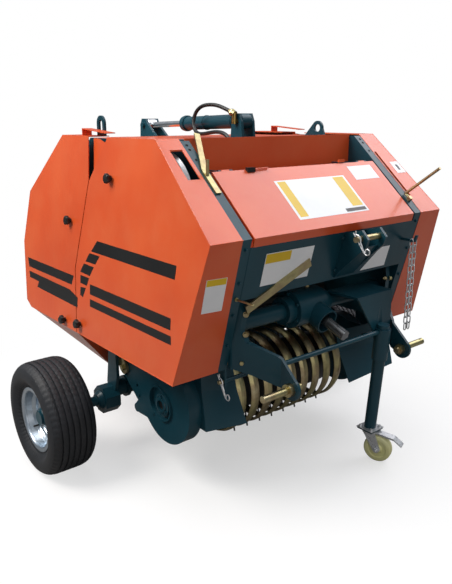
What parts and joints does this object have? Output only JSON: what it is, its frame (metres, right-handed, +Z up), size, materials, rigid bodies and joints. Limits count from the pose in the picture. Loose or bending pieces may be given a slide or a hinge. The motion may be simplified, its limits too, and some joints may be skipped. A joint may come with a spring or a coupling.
{
  "type": "round baler",
  "caption": "Small tractor-mounted round baler with pickup reel, lifting rear gate, twine box, two wheels and a castor jack.",
  "frame": {"origin": "on the ground under the middle of the bounding box", "axes": "+Z up, -Y to the hitch end, +X to the right seen from the hitch end"},
  "size_m": [1.568, 1.3201, 1.2446],
  "materials": {
    "orange_paint": "gloss",
    "teal_paint": "semi-gloss",
    "yellow_zinc": "satin",
    "black_paint": "semi-gloss",
    "chrome": "polished",
    "bright_steel": "satin",
    "tyre_rubber": "matt",
    "hose_rubber": "matt",
    "rim_paint": "semi-gloss",
    "knob_plastic": "matt",
    "nylon": "semi-gloss",
    "brass": "satin"
  },
  "bodies": {
    "frame": {"front_covers": "orange_paint", "front_knobs": "knob_plastic", "chamber_side_plates": "teal_paint", "front_panel": "teal_paint", "twine_box": "orange_paint", "lid_hinge_ears": "teal_paint", "roof_sheet": "orange_paint", "top_beam": "teal_paint", "axle_beam": "teal_paint", "gearbox": "teal_paint", "hitch_plates": "teal_paint", "hitch_pins": "yellow_zinc", "jack_bracket": "teal_paint", "top_link_clevis": "teal_paint", "top_link_pin": "yellow_zinc", "cylinder_lug": "black_paint", "roof_lifting_eye": "teal_paint", "chain_hook": "teal_paint", "hydraulic_hose": "hose_rubber", "hose_fittings": "brass", "feed_floor": "teal_paint", "pickup_hangers": "yellow_zinc", "zinc_levers": "yellow_zinc", "holding_chain": "bright_steel"},
    "rear_gate": {"gate_covers": "orange_paint", "gate_knobs": "knob_plastic", "gate_side_plates": "teal_paint", "gate_wrap": "orange_paint", "gate_underpan": "orange_paint", "gate_top_flaps": "orange_paint", "gate_lifting_eye": "teal_paint", "gate_lug": "teal_paint"},
    "lid": {"twine_lid": "orange_paint"},
    "barrel": {"cylinder_barrel": "black_paint"},
    "rod": {"cylinder_rod": "chrome"},
    "pickup": {"pickup_side_plates": "teal_paint", "pickup_bands": "yellow_zinc", "pickup_shields": "teal_paint"},
    "reel": {"pickup_reel": "black_paint"},
    "pto": {"drive_shaft": "bright_steel"},
    "wheel_left": {"tyre_left": "tyre_rubber", "rim_left": "rim_paint"},
    "wheel_right": {"tyre_right": "tyre_rubber", "rim_right": "rim_paint"},
    "jack": {"jack_post": "teal_paint"},
    "castor": {"castor_fork": "bright_steel"},
    "castor_roller": {"castor_wheel": "nylon"},
    "pulley": {"drive_pulley": "bright_steel"},
    "starter_roller_body": {"starter_roller": "teal_paint"},
    "front_roller_body": {"front_roller": "teal_paint"},
    "floor_roller_body": {"floor_roller": "teal_paint"},
    "gate_lower_roller_body": {"gate_lower_roller": "teal_paint"},
    "gate_rear_roller_body": {"gate_rear_roller": "teal_paint"}
  },
  "joints": [
    {"name": "gate_lift", "type": "hinge", "parent": "frame", "child": "rear_gate", "pos_m": [0, 0.136, 0.991], "axis": [1, 0, 0], "range_deg": [0, 38]},
    {"name": "barrel_tilt", "type": "hinge", "parent": "frame", "child": "barrel", "pos_m": [-0.06, -0.137, 1.184], "axis": [1, 0, 0], "range_deg": [0, 21]},
    {"name": "rod_slide", "type": "slide", "parent": "barrel", "child": "rod", "axis": [0, 0.9995, -0.0327], "range_m": [-0.156, 0]},
    {"name": "lid_open", "type": "hinge", "parent": "frame", "child": "lid", "pos_m": [0, -0.34535, 1.04233], "axis": [-1, 0, 0], "range_deg": [0, 140]},
    {"name": "pickup_lift", "type": "hinge", "parent": "frame", "child": "pickup", "pos_m": [0, 0.047, 0.336], "axis": [-1, 0, 0], "range_deg": [-3, 7]},
    {"name": "reel_spin", "type": "hinge", "parent": "pickup", "child": "reel", "pos_m": [0, -0.19, 0.277], "axis": [-1, 0, 0], "continuous": true},
    {"name": "drive_spin", "type": "hinge", "parent": "frame", "child": "pto", "pos_m": [0, -0.49773, 0.55143], "axis": [0, -0.9397, -0.342], "continuous": true},
    {"name": "wheel_left_spin", "type": "hinge", "parent": "frame", "child": "wheel_left", "pos_m": [-0.7015, 0.128, 0.198], "axis": [1, 0, 0], "continuous": true},
    {"name": "wheel_right_spin", "type": "hinge", "parent": "frame", "child": "wheel_right", "pos_m": [0.7015, 0.128, 0.198], "axis": [1, 0, 0], "continuous": true},
    {"name": "jack_slide", "type": "slide", "parent": "frame", "child": "jack", "axis": [0, -0.0698, 0.9976], "range_m": [0, 0.24]},
    {"name": "castor_swivel", "type": "hinge", "parent": "jack", "child": "castor", "pos_m": [0.205, -0.542, 0.121], "axis": [0, 0, 1], "continuous": true},
    {"name": "castor_wheel_spin", "type": "hinge", "parent": "castor", "child": "castor_roller", "pos_m": [0.21663, -0.57395, 0.05], "axis": [0.9397, 0.342, 0], "continuous": true},
    {"name": "pulley_spin", "type": "hinge", "parent": "frame", "child": "pulley", "pos_m": [-0.441, -0.214, 0.957], "axis": [-1, 0, 0], "continuous": true},
    {"name": "starter_roller_spin", "type": "hinge", "parent": "frame", "child": "starter_roller_body", "pos_m": [0, -0.12182, 0.54191], "axis": [-1, 0, 0], "continuous": true},
    {"name": "front_roller_spin", "type": "hinge", "parent": "frame", "child": "front_roller_body", "pos_m": [0, -0.1556, 0.66372], "axis": [-1, 0, 0], "continuous": true},
    {"name": "floor_roller_spin", "type": "hinge", "parent": "frame", "child": "floor_roller_body", "pos_m": [0, 0.09536, 0.38984], "axis": [-1, 0, 0], "continuous": true},
    {"name": "gate_lower_roller_spin", "type": "hinge", "parent": "rear_gate", "child": "gate_lower_roller_body", "pos_m": [0, 0.27309, 0.42118], "axis": [-1, 0, 0], "continuous": true},
    {"name": "gate_rear_roller_spin", "type": "hinge", "parent": "rear_gate", "child": "gate_rear_roller_body", "pos_m": [0, 0.41039, 0.57913], "axis": [-1, 0, 0], "continuous": true}
  ],
  "couplings": [
    {"joint": "pulley_spin", "follows": "reel_spin", "ratio": 2},
    {"joint": "barrel_tilt", "follows": "gate_lift", "ratio": 0.52514},
    {"joint": "rod_slide", "follows": "gate_lift", "m_per_rad": -0.22819},
    {"joint": "drive_spin", "follows": "reel_spin", "ratio": 5},
    {"joint": "starter_roller_spin", "follows": "reel_spin", "ratio": 1.5},
    {"joint": "front_roller_spin", "follows": "reel_spin", "ratio": 1.5},
    {"joint": "floor_roller_spin", "follows": "reel_spin", "ratio": 1.5},
    {"joint": "gate_lower_roller_spin", "follows": "reel_spin", "ratio": 1.5},
    {"joint": "gate_rear_roller_spin", "follows": "reel_spin", "ratio": 1.5}
  ]
}
